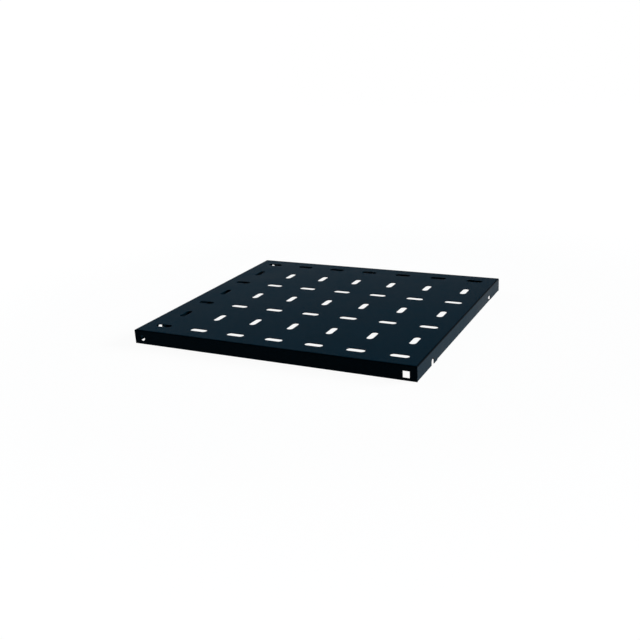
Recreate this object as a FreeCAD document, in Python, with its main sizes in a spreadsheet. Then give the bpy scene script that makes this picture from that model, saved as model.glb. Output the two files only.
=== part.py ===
"""A perforated rack shelf: one steel sheet folded down on all four sides.

Millimetres. X runs across the shelf, Y from front to back, Z up. The origin is the centre of
the plane that the folded edges stand on.
"""
import os

import FreeCAD
import Part
import Sketcher

DIMENSIONS = (
    # the folded tray
    ("width", 440.0),
    ("depth", 397.0),
    ("height", 21.4),
    ("thickness", 1.0),
    ("bend_inside", 1.0),
    ("bend_outside", 2.0),
    ("corner_seam", 0.4),
    ("corner_closed", 3.0),
    # the field of slots in the deck
    ("slot_length", 27.0),
    ("slot_width", 10.0),
    ("slot_pitch_x", 62.2),
    ("slot_pitch_y", 57.0),
    # the holes at the ends of the front and back flanges
    ("square_side", 9.5),
    ("square_inset", 15.0),
    ("square_rise", 8.5),
    ("round_diameter", 8.0),
    ("round_inset", 13.3),
    ("round_rise", 9.0),
    # the lips turned in under the side flanges
    ("lip_width", 12.0),
    ("left_lip_from_front", 70.0),
    ("right_lip_from_front", 79.0),
    ("lip_from_back", 51.0),
    ("lip_slit", 0.8),
    ("lip_slit_rise", 3.0),
    ("plain_edge_lift", 0.8),
    # the cutouts in the side flanges
    ("notch_inset", 60.0),
    ("notch_width", 10.0),
    ("notch_rise", 9.7),
    ("notch_corner", 4.5),
    ("window_inset", 59.5),
    ("window_width", 12.5),
    ("window_rise", 9.1),
    ("window_corner", 3.0),
    ("window_sill", 2.5),
    ("sill_corner", 1.5),
)
SIZE = dict(DIMENSIONS)
COLUMNS = 7
ROWS_ACROSS = 4
ROWS_ALONG = 3
SIDES = (-1, 1)

doc = FreeCAD.newDocument("rack_shelf")
sheet = doc.addObject("Spreadsheet::Sheet", "dims")
for row, (alias, value) in enumerate(DIMENSIONS, start=1):
    sheet.set(f"A{row}", alias)
    sheet.set(f"B{row}", str(value))
    sheet.setAlias(f"B{row}", alias)
doc.recompute()

body = doc.addObject("PartDesign::Body", "shelf")
body.Label = "shelf"
ORIGIN = {feature.Role: feature for feature in body.Origin.OriginFeatures}


def value_of(formula):
    """The value of a sum of products of sheet cells and numbers, written with + - and *."""
    total = 0.0
    for signed in formula.replace("- ", "+ -").split("+ "):
        sign = -1.0 if signed.strip().startswith("-") else 1.0
        product = 1.0
        for factor in signed.strip().lstrip("-").split("*"):
            name = factor.strip()
            product *= SIZE[name] if name in SIZE else float(name)
        total += sign * product
    return total


def expression(formula):
    """The same formula with each cell written as the sheet's own."""
    words = formula.split()
    return " ".join(f"dims.{word}" if word in SIZE else word for word in words)


def new_sketch(name, plane, height=None):
    """An empty sketch on one of the body's planes, or raised above it by a formula's value."""
    sketch = body.newObject("Sketcher::SketchObject", name)
    sketch.AttachmentSupport = [(ORIGIN[plane], "")]
    sketch.MapMode = "FlatFace"
    if height:
        sketch.setExpression("AttachmentOffset.Base.z", expression(height))
    return sketch


def dimension(sketch, kind, ends, formula):
    """One driving dimension of a sketch, bound to the sheet."""
    index = sketch.addConstraint(Sketcher.Constraint(kind, *ends, value_of(formula)))
    sketch.setExpression(f"Constraints[{index}]", expression(formula))


def locate(sketch, point, sign_u, u_formula, sign_v, v_formula):
    """Dimension a point from the sketch's origin, to the side that each sign tells."""
    for kind, sign, formula in (("DistanceX", sign_u, u_formula), ("DistanceY", sign_v, v_formula)):
        ends = (-1, 1) + point if sign > 0 else point + (-1, 1)
        dimension(sketch, kind, ends, formula)


def draw_rectangle(sketch, near, far, near_signs=(1, 1), far_signs=None):
    """A rectangle between two opposite corners, each a pair of formulas measured from the origin.

    The signs tell to which side of the origin each corner lies; both lie to the same side
    unless the far corner has signs of its own.
    """
    far_signs = far_signs or near_signs
    u_near, v_near = (sign * value_of(formula) for sign, formula in zip(near_signs, near))
    u_far, v_far = (sign * value_of(formula) for sign, formula in zip(far_signs, far))
    outline = ((u_near, v_near), (u_far, v_near), (u_far, v_far), (u_near, v_far))
    corners = [FreeCAD.Vector(u, v, 0) for u, v in outline]
    first = sketch.GeometryCount
    for start, end in zip(corners, corners[1:] + corners[:1]):
        sketch.addGeometry(Part.LineSegment(start, end))
    for step in range(4):
        following = first + (step + 1) % 4
        sketch.addConstraint(Sketcher.Constraint("Coincident", first + step, 2, following, 1))
        kind = "Horizontal" if step % 2 == 0 else "Vertical"
        sketch.addConstraint(Sketcher.Constraint(kind, first + step))
    locate(sketch, (first, 1), near_signs[0], near[0], near_signs[1], near[1])
    locate(sketch, (first + 2, 1), far_signs[0], far[0], far_signs[1], far[1])


def draw_centred_rectangle(sketch, half_u, half_v):
    """A rectangle centred on the origin, from the formulas of its two half sizes."""
    draw_rectangle(sketch, (half_u, half_v), (half_u, half_v), (-1, -1), (1, 1))


def draw_slot(sketch, u_formula, v_formula, along_u):
    """One round-ended slot left of and before the origin, running along the first or second axis."""
    half_run = value_of("0.5 * slot_length - 0.5 * slot_width")
    radius = value_of("0.5 * slot_width")
    middle = FreeCAD.Vector(-value_of(u_formula), -value_of(v_formula), 0)
    run = FreeCAD.Vector(1, 0, 0) if along_u else FreeCAD.Vector(0, 1, 0)
    side = FreeCAD.Vector(-run.y, run.x, 0) * radius
    first_end = middle - run * half_run
    last_end = middle + run * half_run
    sketch.addGeometry(Part.LineSegment(first_end - side, last_end - side))
    sketch.addGeometry(Part.Arc(last_end - side, last_end + run * radius, last_end + side))
    sketch.addGeometry(Part.LineSegment(last_end + side, first_end + side))
    sketch.addGeometry(Part.Arc(first_end + side, first_end - run * radius, first_end - side))
    for this, following in ((0, 1), (1, 2), (2, 3), (3, 0)):
        sketch.addConstraint(Sketcher.Constraint("Tangent", this, 2, following, 1))
    sketch.addConstraint(Sketcher.Constraint("Horizontal" if along_u else "Vertical", 0))
    sketch.addConstraint(Sketcher.Constraint("Equal", 1, 3))
    dimension(sketch, "Radius", (1,), "0.5 * slot_width")
    reach = "0.5 * slot_length - 0.5 * slot_width"
    if along_u:
        locate(sketch, (3, 3), -1, f"{u_formula} + {reach}", -1, v_formula)
    else:
        locate(sketch, (3, 3), -1, u_formula, -1, f"{v_formula} + {reach}")
    dimension(sketch, "DistanceX" if along_u else "DistanceY", (3, 3, 1, 3), "slot_length - slot_width")


def pad(name, sketch, length):
    """Add a sketch's prism upwards."""
    feature = body.newObject("PartDesign::Pad", name)
    feature.Profile = sketch
    feature.setExpression("Length", expression(length))
    return finished(feature, adds=True)


def pocket(name, sketch, length=None, upwards=False):
    """Cut a sketch's prism: to a length, or right through both ways where no length is given."""
    feature = body.newObject("PartDesign::Pocket", name)
    feature.Profile = sketch
    if length:
        feature.Reversed = upwards
        feature.setExpression("Length", expression(length))
    else:
        feature.Type = "ThroughAll"
        feature.SideType = "Symmetric"
    return finished(feature, adds=False)


def finished(feature, adds):
    """Recompute, make the feature the body's tip, and stop if it changed nothing."""
    before = volume_so_far[-1]
    doc.recompute()
    body.Tip = feature
    doc.recompute()
    after = feature.Shape.Volume
    changed = after - before if adds else before - after
    if changed < 1.0:
        raise RuntimeError(f"{feature.Name} changed the volume by {changed:.3f}")
    volume_so_far.append(after)
    return feature


def repeat(name, original, columns, rows):
    """Repeat a cut over the grid of the slot field."""
    pattern = body.newObject("PartDesign::LinearPattern", name)
    pattern.Originals = [original]
    pattern.Direction = (ORIGIN["X_Axis"], [""])
    pattern.Direction2 = (ORIGIN["Y_Axis"], [""])
    pattern.Mode = "Spacing"
    pattern.Mode2 = "Spacing"
    pattern.setExpression("Offset", expression("slot_pitch_x"))
    pattern.setExpression("Offset2", expression("2 * slot_pitch_y"))
    pattern.Occurrences = columns
    pattern.Occurrences2 = rows
    # a gap of minus one takes the common spacing
    pattern.Spacings = [-1.0] * (columns - 1)
    pattern.Spacings2 = [-1.0] * (rows - 1)
    one_cut = volume_so_far[-2] - volume_so_far[-1]
    before = volume_so_far[-1]
    finished(pattern, adds=False)
    cuts = 1 + round((before - volume_so_far[-1]) / one_cut)
    if cuts != columns * rows:
        raise RuntimeError(f"{name} has {cuts} slots")
    return pattern


def round_edges(name, radius, wanted):
    """Round the straight edges of the tip whose middle and direction are the wanted ones."""
    base = body.Tip
    names = []
    for number, edge in enumerate(base.Shape.Edges, start=1):
        straight = edge.Curve.TypeId == "Part::GeomLine"
        if straight and wanted(edge.CenterOfMass, edge.tangentAt(edge.FirstParameter)):
            names.append(f"Edge{number}")
    feature = body.newObject("PartDesign::Fillet", name)
    feature.Base = (base, names)
    feature.setExpression("Radius", expression(radius))
    doc.recompute()
    body.Tip = feature
    doc.recompute()
    volume_so_far.append(feature.Shape.Volume)
    return len(names)


def close(a, b):
    return abs(a - b) < 0.01


volume_so_far = [0.0]

# The blank tray: a block the size of the shelf, hollowed from below to the sheet's thickness.
outline = new_sketch("tray_outline", "XY_Plane")
draw_centred_rectangle(outline, "0.5 * width", "0.5 * depth")
pad("tray_block", outline, "height")
inside = new_sketch("tray_inside", "XY_Plane")
draw_centred_rectangle(inside, "0.5 * width - thickness", "0.5 * depth - thickness")
pocket("tray_hollow", inside, "height - thickness", upwards=True)

# At each corner the side flange butts against the front or back flange in a narrow seam,
# which is closed where the bends meet under the deck.
seams = new_sketch("corner_seam_plan", "XY_Plane")
for sign_x in SIDES:
    for sign_y in SIDES:
        draw_rectangle(
            seams,
            ("0.5 * width - thickness", "0.5 * depth - thickness - corner_seam"),
            ("0.5 * width + thickness", "0.5 * depth - thickness"),
            (sign_x, sign_y))
pocket("corner_seams", seams, "height - corner_closed", upwards=True)

# The lips under the side flanges, which reach further forward on the left, and the slits that
# free their ends. Before the notches and behind the lips, the side flanges' plain edges stop a
# little above the standing plane.
lips = new_sketch("lip_plan", "XY_Plane")
lip_slits = new_sketch("lip_slit_plan", "XY_Plane")
plain_edges = new_sketch("plain_edge_plan", "XY_Plane")
LIP_STARTS = ((-1, "left_lip_from_front"), (1, "right_lip_from_front"))
PLAIN_STARTS = (
    (-1, "0.5 * depth - notch_inset"),
    (1, "0.5 * depth - lip_from_back + 0.5 * lip_slit"))
for sign_x, lip_from_front in LIP_STARTS:
    draw_rectangle(
        lips,
        ("0.5 * width - lip_width", f"0.5 * depth - {lip_from_front}"),
        ("0.5 * width", "0.5 * depth - lip_from_back"),
        (sign_x, -1),
        (sign_x, 1))
    for sign_y, inset in ((-1, lip_from_front), (1, "lip_from_back")):
        draw_rectangle(
            lip_slits,
            ("0.5 * width - bend_outside", f"0.5 * depth - {inset}"),
            ("0.5 * width + thickness", f"0.5 * depth - {inset} + lip_slit"),
            (sign_x, sign_y))
    for sign_y, plain_from in PLAIN_STARTS:
        draw_rectangle(
            plain_edges,
            ("0.5 * width - 2 * thickness", plain_from),
            ("0.5 * width + thickness", "0.5 * depth - thickness - 0.5 * corner_seam"),
            (sign_x, sign_y))
pad("side_lips", lips, "thickness")
pocket("lip_slits", lip_slits, "lip_slit_rise", upwards=True)
pocket("plain_edges", plain_edges, "plain_edge_lift", upwards=True)

# The folds: the same bend at the deck's four edges and where the lips turn in.
half_w = 0.5 * SIZE["width"]
half_d = 0.5 * SIZE["depth"]
top = SIZE["height"]
skin = SIZE["thickness"]


def on_fold(inset, drop):
    """A test for the edges that lie on a fold, set in and down from the outer corner line."""
    def wanted(middle, direction):
        along_x = close(abs(direction.x), 1.0)
        along_y = close(abs(direction.y), 1.0)
        deck_end = along_x and close(abs(middle.y), half_d - inset) and close(middle.z, top - drop)
        deck_side = along_y and close(abs(middle.x), half_w - inset) and close(middle.z, top - drop)
        lip = along_y and close(abs(middle.x), half_w - inset) and close(middle.z, drop)
        return deck_end or deck_side or (lip and abs(middle.y) < 0.25 * SIZE["depth"])
    return wanted


folds_outside = round_edges("folds_outside", "bend_outside", on_fold(0.0, 0.0))
folds_inside = round_edges("folds_inside", "bend_inside", on_fold(skin, skin))

# The side flanges' cutouts: an open notch near the front, and near the back a window above
# the lip.
cutouts = new_sketch("cutout_profile", "YZ_Plane")
draw_rectangle(
    cutouts,
    ("0.5 * depth - notch_inset - 0.5 * notch_width", "-1 * thickness"),
    ("0.5 * depth - notch_inset + 0.5 * notch_width", "notch_rise"),
    (-1, 1))
draw_rectangle(
    cutouts,
    ("0.5 * depth - window_inset - 0.5 * window_width", "window_sill"),
    ("0.5 * depth - window_inset + 0.5 * window_width", "window_rise"))
pocket("side_cutouts", cutouts)


def cutout_corner(cutout, level):
    """A test for the edges of one cutout's corners, which run through the side flanges."""
    sign_y = -1 if cutout == "notch" else 1

    def wanted(middle, direction):
        if not close(abs(direction.x), 1.0) or abs(middle.x) < 0.25 * SIZE["width"]:
            return False
        from_centre = abs(sign_y * middle.y - half_d + SIZE[f"{cutout}_inset"])
        return close(from_centre, 0.5 * SIZE[f"{cutout}_width"]) and close(middle.z, SIZE[level])
    return wanted


round_edges("notch_corners", "notch_corner", cutout_corner("notch", "notch_rise"))
round_edges("window_corners", "window_corner", cutout_corner("window", "window_rise"))
round_edges("sill_corners", "sill_corner", cutout_corner("window", "window_sill"))

# The holes at the ends of the front and back flanges: square on the right, round on the left.
end_holes = new_sketch("end_hole_profile", "XZ_Plane")
draw_rectangle(
    end_holes,
    ("0.5 * width - square_inset - 0.5 * square_side", "square_rise - 0.5 * square_side"),
    ("0.5 * width - square_inset + 0.5 * square_side", "square_rise + 0.5 * square_side"))
centre = FreeCAD.Vector(-value_of("0.5 * width - round_inset"), SIZE["round_rise"], 0)
normal = FreeCAD.Vector(0, 0, 1)
circle = end_holes.addGeometry(Part.Circle(centre, normal, 0.5 * SIZE["round_diameter"]))
dimension(end_holes, "Diameter", (circle,), "round_diameter")
locate(end_holes, (circle, 3), -1, "0.5 * width - round_inset", 1, "round_rise")
pocket("end_holes", end_holes)

# The slot field: rows that run across take turns with rows that run front to back.
across = new_sketch("slot_across_plan", "XY_Plane", "height")
draw_slot(across, "3 * slot_pitch_x", "3 * slot_pitch_y", along_u=True)
slot_across = pocket("slot_across", across, "2 * thickness")
repeat("slots_across", slot_across, COLUMNS, ROWS_ACROSS)
along = new_sketch("slot_along_plan", "XY_Plane", "height")
draw_slot(along, "3 * slot_pitch_x", "2 * slot_pitch_y", along_u=False)
slot_along = pocket("slot_along", along, "2 * thickness")
repeat("slots_along", slot_along, COLUMNS, ROWS_ALONG)

# Nothing is written unless every object came out sound.
failed = [item.Name for item in doc.Objects if {"Invalid", "Error"} & set(item.State)]
if failed:
    raise RuntimeError("failed objects: " + ", ".join(failed))
loose = [item.Name for item in doc.Objects
         if item.TypeId == "Sketcher::SketchObject" and not item.FullyConstrained]
if loose:
    raise RuntimeError("sketches with freedom left: " + ", ".join(loose))
shape = body.Shape
if shape.isNull() or not shape.isValid() or len(shape.Solids) != 1:
    raise RuntimeError("the shelf is not one sound solid")

os.makedirs("parts", exist_ok=True)
shape.exportStep(f"parts/{body.Label}.step")
box = shape.BoundBox
print(f"folds {folds_outside} outside, {folds_inside} inside")
print(f"size {box.XLength:.2f} x {box.YLength:.2f} x {box.ZLength:.2f}, volume {shape.Volume:.0f}")
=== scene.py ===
"""The rack shelf as the photograph shows it: blue-black powder coat on a white studio sweep."""
import math

import bpy
from mathutils import Matrix, Vector


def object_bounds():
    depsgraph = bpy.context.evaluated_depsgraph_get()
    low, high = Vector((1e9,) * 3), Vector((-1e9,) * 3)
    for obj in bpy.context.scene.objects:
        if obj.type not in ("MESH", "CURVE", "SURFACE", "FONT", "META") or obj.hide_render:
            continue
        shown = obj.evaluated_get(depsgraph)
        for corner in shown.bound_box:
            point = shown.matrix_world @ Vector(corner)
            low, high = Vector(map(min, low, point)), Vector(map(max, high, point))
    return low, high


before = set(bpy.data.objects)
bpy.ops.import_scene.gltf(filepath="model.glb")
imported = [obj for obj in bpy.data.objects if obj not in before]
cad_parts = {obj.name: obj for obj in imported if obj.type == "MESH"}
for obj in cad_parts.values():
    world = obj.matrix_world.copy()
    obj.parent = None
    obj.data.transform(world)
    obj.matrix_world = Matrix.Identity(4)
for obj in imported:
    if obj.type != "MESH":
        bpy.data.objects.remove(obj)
CAD_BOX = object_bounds()

# The camera, fitted to the shelf's corners in the photograph. Its place is in metres, its lens and
# sensor are in millimetres.
CAMERA_PLACE = Vector((0.54658, -1.09422, 0.42164))
CAMERA_RIGHT = Vector((0.897183, 0.438443, -0.053210))
CAMERA_UP = Vector((-0.100353, 0.319696, 0.942191))
CAMERA_LENS = 46.348
CAMERA_SENSOR = 36.0

# The coat's colours: its tone runs from dark to light, with shares for the smudges and the grain.
COAT_DARK = (0.0020, 0.0145, 0.0256, 1.0)
COAT_LIGHT = (0.0060, 0.0290, 0.0480, 1.0)
# The fold colour is painted shade, laid on the side folds where the coat bends.
FOLD_SHADE_COLOUR = (0.0004, 0.0020, 0.0036, 1.0)
EDGE_COLOUR = (0.0120, 0.0290, 0.0420, 1.0)
SMUDGE_SHARE = 0.4
GRAIN_SHARE = 0.6

# The coat's gloss. It reflects less than real paint does, because the shelf stands on a white floor
# and its front is nearly black in the photograph.
COAT_IOR = 1.072
SHEEN_WEIGHT = 0.04
SHEEN_ROUGHNESS = 0.30
SHEEN_TINT = (0.12, 0.55, 0.95, 1.0)
ROUGHNESS_RANGE = (0.33, 0.43)
GRAIN_ROUGHNESS = 0.04
EDGE_POLISH = 0.10

# The coat's texture: grains of about half a millimetre, a slow orange peel under them and wide
# smudges. Heights are in metres.
GRAINS_PER_METRE = 1700.0
GRAIN_HEIGHT = 0.00004
GRAIN_STRENGTH = 0.8
PEEL_PER_METRE = 260.0
PEEL_HEIGHT = 0.00006
PEEL_STRENGTH = 0.6
SMUDGES_PER_METRE = 14.0

# The stretch of a noise's values that is carried to a full range, gently or with more contrast.
GENTLE_NOISE = (0.30, 0.70)
STRONG_NOISE = (0.35, 0.65)

# Where the coat is worn and where shade is painted. A cut edge begins at the first cosine between the
# rounded and the true normal and is full at the second. The painted shade on a fold goes by the
# product of the normal's X and Z.
EDGE_RADIUS = 0.0005
EDGE_COSINES = (0.98, 0.80)
WEAR_RANGE = (0.25, 0.90)
FOLD_SHADE_SLOPES = (0.02, 0.35)
FOLD_SHADE_COVER = 0.95

# The sweep: a round floor with a low wall, in metres, a hair below the lips that the shelf stands
# on. Its glow is a little weaker by the shelf than beyond.
SWEEP_RADIUS = 4.0
SWEEP_COVE = 0.35
SWEEP_WALL = 0.82
SWEEP_DROP = 0.0003
COVE_STEPS = 8
SWEEP_TURNS = 96
SWEEP_COLOUR = (0.08, 0.08, 0.08, 1.0)
GLOW_RANGE = (0.955, 1.0)
GLOW_RISES = (0.45, 1.2)
SHADE_UNDER_SHELF = 0.8

# The light: a dim cool room behind the shelf, a soft light from the right and a weak fill from the
# left. The room is full where the direction's Y reaches the second value.
ROOM_COLOUR = (0.015, 0.075, 0.140, 1.0)
ROOM_FADE = (0.0, 0.5)
LEFT_FILL_FROM = Vector((-1.0, 0.30, 0.40))
LEFT_FILL_STRENGTH = 0.7
RIGHT_SIDE_FROM = Vector((1.0, 0.60, 0.38))
RIGHT_SIDE_STRENGTH = 3.6
LIGHT_SPREAD = math.radians(26.0)


class Graph:
    """A node tree with short calls for adding and linking nodes."""

    def __init__(self, tree):
        self.tree = tree
        tree.nodes.clear()

    def add(self, kind, **settings):
        """Add a node and set its properties."""
        node = self.tree.nodes.new(kind)
        for name, value in settings.items():
            setattr(node, name, value)
        return node

    def link(self, output, socket):
        """Link a node's output to another node's socket."""
        self.tree.links.new(output, socket)

    def feed(self, socket, value):
        """Link an output to a socket, or set a plain value on it."""
        if isinstance(value, bpy.types.NodeSocket):
            self.link(value, socket)
        else:
            socket.default_value = value

    def math(self, operation, *values):
        """Work on one or two numbers."""
        node = self.add("ShaderNodeMath", operation=operation)
        for socket, value in zip(node.inputs, values):
            self.feed(socket, value)
        return node.outputs["Value"]

    def measure(self, operation, *vectors):
        """Work out a number from one or two vectors."""
        node = self.add("ShaderNodeVectorMath", operation=operation)
        for socket, vector in zip(node.inputs, vectors):
            self.link(vector, socket)
        return node.outputs["Value"]

    def parts(self, vector):
        """Split a vector into its X, Y and Z."""
        node = self.add("ShaderNodeSeparateXYZ")
        self.link(vector, node.inputs["Vector"])
        return node.outputs

    def noise(self, place, scale, detail, roughness, distortion=0.0):
        """Smooth noise from 0 to 1."""
        node = self.add("ShaderNodeTexNoise")
        self.link(place, node.inputs["Vector"])
        node.inputs["Scale"].default_value = scale
        node.inputs["Detail"].default_value = detail
        node.inputs["Roughness"].default_value = roughness
        node.inputs["Distortion"].default_value = distortion
        return node.outputs["Fac"]

    def span(self, value, source, target=(0.0, 1.0)):
        """Carry a value from one range to another, held at the ends."""
        node = self.add("ShaderNodeMapRange", clamp=True)
        self.link(value, node.inputs["Value"])
        names = ("From Min", "From Max", "To Min", "To Max")
        for name, number in zip(names, source + target):
            node.inputs[name].default_value = number
        return node.outputs["Result"]

    def blend(self, factor, first, second):
        """Mix two colours."""
        node = self.add("ShaderNodeMix", data_type="RGBA")
        self.link(factor, node.inputs["Factor"])
        colours = [socket for socket in node.inputs if socket.type == "RGBA"]
        for socket, value in zip(colours, (first, second)):
            self.feed(socket, value)
        return next(socket for socket in node.outputs if socket.type == "RGBA")

    def bump(self, height, distance, strength, normal):
        """Raise a height map on top of a normal."""
        node = self.add("ShaderNodeBump")
        node.inputs["Strength"].default_value = strength
        node.inputs["Distance"].default_value = distance
        self.link(height, node.inputs["Height"])
        self.link(normal, node.inputs["Normal"])
        return node.outputs["Normal"]


def new_material(name):
    """A node material with nothing in it yet, and its graph."""
    material = bpy.data.materials.new(name)
    material.use_nodes = True
    return material, Graph(material.node_tree)


def cut_edge(graph, rounded):
    """The sheet's cut edges, which show where a rounded normal leaves the face's own."""
    true_normal = graph.add("ShaderNodeNewGeometry").outputs["Normal"]
    return graph.span(graph.measure("DOT_PRODUCT", rounded, true_normal), EDGE_COSINES)


def painted_fold_shade(graph, normal):
    """Painted shade on the side folds, where the face is neither level nor upright."""
    facing = graph.parts(normal)
    slope = graph.math("ABSOLUTE", graph.math("MULTIPLY", facing["X"], facing["Z"]))
    return graph.span(slope, FOLD_SHADE_SLOPES, (0.0, FOLD_SHADE_COVER))


def powder_coat():
    """Satin powder coat with a fine grain, painted shade on the side folds, a little paler on cut
    edges.
    """
    material, graph = new_material("powder_coat")
    coordinates = graph.add("ShaderNodeTexCoord").outputs
    place = coordinates["Object"]
    grain = graph.noise(place, GRAINS_PER_METRE, detail=1.0, roughness=0.4)
    peel = graph.noise(place, PEEL_PER_METRE, detail=2.0, roughness=0.5)
    smudge = graph.noise(place, SMUDGES_PER_METRE, detail=4.0, roughness=0.6, distortion=0.8)

    bevel = graph.add("ShaderNodeBevel", samples=8)
    bevel.inputs["Radius"].default_value = EDGE_RADIUS
    rounded = bevel.outputs["Normal"]
    wear = graph.span(smudge, STRONG_NOISE, WEAR_RANGE)
    worn = graph.math("MULTIPLY", cut_edge(graph, rounded), wear)

    smudge_tone = graph.span(smudge, GENTLE_NOISE, (0.0, SMUDGE_SHARE))
    grain_tone = graph.span(grain, STRONG_NOISE, (0.0, GRAIN_SHARE))
    colour = graph.blend(graph.math("ADD", smudge_tone, grain_tone), COAT_DARK, COAT_LIGHT)
    # Painted shade darkens the side folds.
    colour = graph.blend(painted_fold_shade(graph, coordinates["Normal"]), colour, FOLD_SHADE_COLOUR)
    colour = graph.blend(worn, colour, EDGE_COLOUR)

    smudge_rough = graph.span(smudge, GENTLE_NOISE, ROUGHNESS_RANGE)
    grain_rough = graph.span(grain, GENTLE_NOISE, (-GRAIN_ROUGHNESS, GRAIN_ROUGHNESS))
    rough = graph.math("ADD", smudge_rough, grain_rough)
    rough = graph.math("SUBTRACT", rough, graph.math("MULTIPLY", worn, EDGE_POLISH))

    waves = graph.bump(peel, PEEL_HEIGHT, PEEL_STRENGTH, rounded)
    grains = graph.bump(grain, GRAIN_HEIGHT, GRAIN_STRENGTH, waves)

    shader = graph.add("ShaderNodeBsdfPrincipled")
    graph.link(colour, shader.inputs["Base Color"])
    graph.link(rough, shader.inputs["Roughness"])
    graph.link(grains, shader.inputs["Normal"])
    shader.inputs["IOR"].default_value = COAT_IOR
    shader.inputs["Sheen Weight"].default_value = SHEEN_WEIGHT
    shader.inputs["Sheen Roughness"].default_value = SHEEN_ROUGHNESS
    shader.inputs["Sheen Tint"].default_value = SHEEN_TINT
    output = graph.add("ShaderNodeOutputMaterial")
    graph.link(shader.outputs["BSDF"], output.inputs["Surface"])
    return material


def sweep_material():
    """A white surface that glows for the camera and in reflections, and takes the shadow."""
    material, graph = new_material("studio_sweep")
    place = graph.add("ShaderNodeTexCoord").outputs["Object"]

    # Reflections see the floor under the shelf in the shelf's own shadow. The shelf is centred, so
    # its highest corner gives half its width and half its depth.
    floor = graph.parts(place)
    inside = [graph.math("LESS_THAN", graph.math("ABSOLUTE", floor[axis]), half)
              for axis, half in zip("XY", CAD_BOX[1])]
    shade = graph.math("MULTIPLY", graph.math("MULTIPLY", *inside), SHADE_UNDER_SHELF)
    path = graph.add("ShaderNodeLightPath").outputs
    mirrored = graph.math("MULTIPLY", path["Is Glossy Ray"], graph.math("SUBTRACT", 1.0, shade))
    seen = graph.math("MAXIMUM", path["Is Camera Ray"], path["Is Transmission Ray"])
    seen = graph.math("MAXIMUM", seen, mirrored)
    level = graph.span(graph.measure("LENGTH", place), GLOW_RISES, GLOW_RANGE)

    paint = graph.add("ShaderNodeBsdfDiffuse")
    paint.inputs["Color"].default_value = SWEEP_COLOUR
    glow = graph.add("ShaderNodeEmission")
    graph.link(graph.math("MULTIPLY", seen, level), glow.inputs["Strength"])
    both = graph.add("ShaderNodeAddShader")
    graph.link(paint.outputs["BSDF"], both.inputs[0])
    graph.link(glow.outputs["Emission"], both.inputs[1])
    output = graph.add("ShaderNodeOutputMaterial")
    graph.link(both.outputs["Shader"], output.inputs["Surface"])
    return material


def sweep_rings():
    """The radius and height of each ring of the sweep, from the flat floor up to the wall's top."""
    flat_radius = SWEEP_RADIUS - SWEEP_COVE
    rings = [(flat_radius, 0.0)]
    for step in range(1, COVE_STEPS + 1):
        angle = math.radians(90.0 * step / COVE_STEPS)
        rings.append((flat_radius + SWEEP_COVE * math.sin(angle),
                      SWEEP_COVE - SWEEP_COVE * math.cos(angle)))
    rings.append((SWEEP_RADIUS, SWEEP_WALL))
    return rings


def build_sweep():
    """A round floor that curves up into a low wall, turned from one profile."""
    rings = sweep_rings()
    corners = [(0.0, 0.0, 0.0)]
    for radius, height in rings:
        for turn in range(SWEEP_TURNS):
            angle = 2.0 * math.pi * turn / SWEEP_TURNS
            corners.append((radius * math.cos(angle), radius * math.sin(angle), height))
    faces = []
    for turn in range(SWEEP_TURNS):
        following = (turn + 1) % SWEEP_TURNS
        faces.append((0, 1 + turn, 1 + following))
        for ring in range(len(rings) - 1):
            low = 1 + ring * SWEEP_TURNS
            high = low + SWEEP_TURNS
            faces.append((low + turn, high + turn, high + following, low + following))
    mesh = bpy.data.meshes.new("studio_sweep")
    mesh.from_pydata(corners, [], faces)
    mesh.polygons.foreach_set("use_smooth", [True] * len(faces))
    mesh.materials.append(sweep_material())
    sweep = bpy.data.objects.new("studio_sweep", mesh)
    sweep.location.z = -SWEEP_DROP
    bpy.context.scene.collection.objects.link(sweep)


def light_room():
    """A dim cool room above the sweep's wall, dark on the camera's side."""
    world = bpy.data.worlds.new("studio_room")
    world.use_nodes = True
    graph = Graph(world.node_tree)
    direction = graph.parts(graph.add("ShaderNodeTexCoord").outputs["Generated"])
    room = graph.add("ShaderNodeBackground")
    room.inputs["Color"].default_value = ROOM_COLOUR
    graph.link(graph.span(direction["Y"], ROOM_FADE), room.inputs["Strength"])
    output = graph.add("ShaderNodeOutputWorld")
    graph.link(room.outputs["Background"], output.inputs["Surface"])
    bpy.context.scene.world = world


def add_soft_light(name, shines_from, strength):
    """A wide, far light that shines from the given direction."""
    lamp = bpy.data.lights.new(name, "SUN")
    lamp.energy = strength
    lamp.angle = LIGHT_SPREAD
    light = bpy.data.objects.new(name, lamp)
    light.rotation_euler = shines_from.to_track_quat("Z", "Y").to_euler()
    bpy.context.scene.collection.objects.link(light)


def add_camera():
    """The photograph's camera."""
    back = CAMERA_RIGHT.cross(CAMERA_UP)
    axes = Matrix((CAMERA_RIGHT, CAMERA_UP, back)).transposed()
    camera_data = bpy.data.cameras.new("photo_camera")
    camera_data.lens = CAMERA_LENS
    camera_data.sensor_width = CAMERA_SENSOR
    camera = bpy.data.objects.new("photo_camera", camera_data)
    camera.matrix_world = Matrix.Translation(CAMERA_PLACE) @ axes.to_4x4()
    bpy.context.scene.collection.objects.link(camera)
    bpy.context.scene.camera = camera


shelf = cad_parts["shelf"]
shelf.data.materials.clear()
shelf.data.materials.append(powder_coat())

build_sweep()
light_room()
add_soft_light("left_fill", LEFT_FILL_FROM, LEFT_FILL_STRENGTH)
add_soft_light("right_side", RIGHT_SIDE_FROM, RIGHT_SIDE_STRENGTH)
add_camera()
bpy.context.scene.view_settings.view_transform = "Standard"
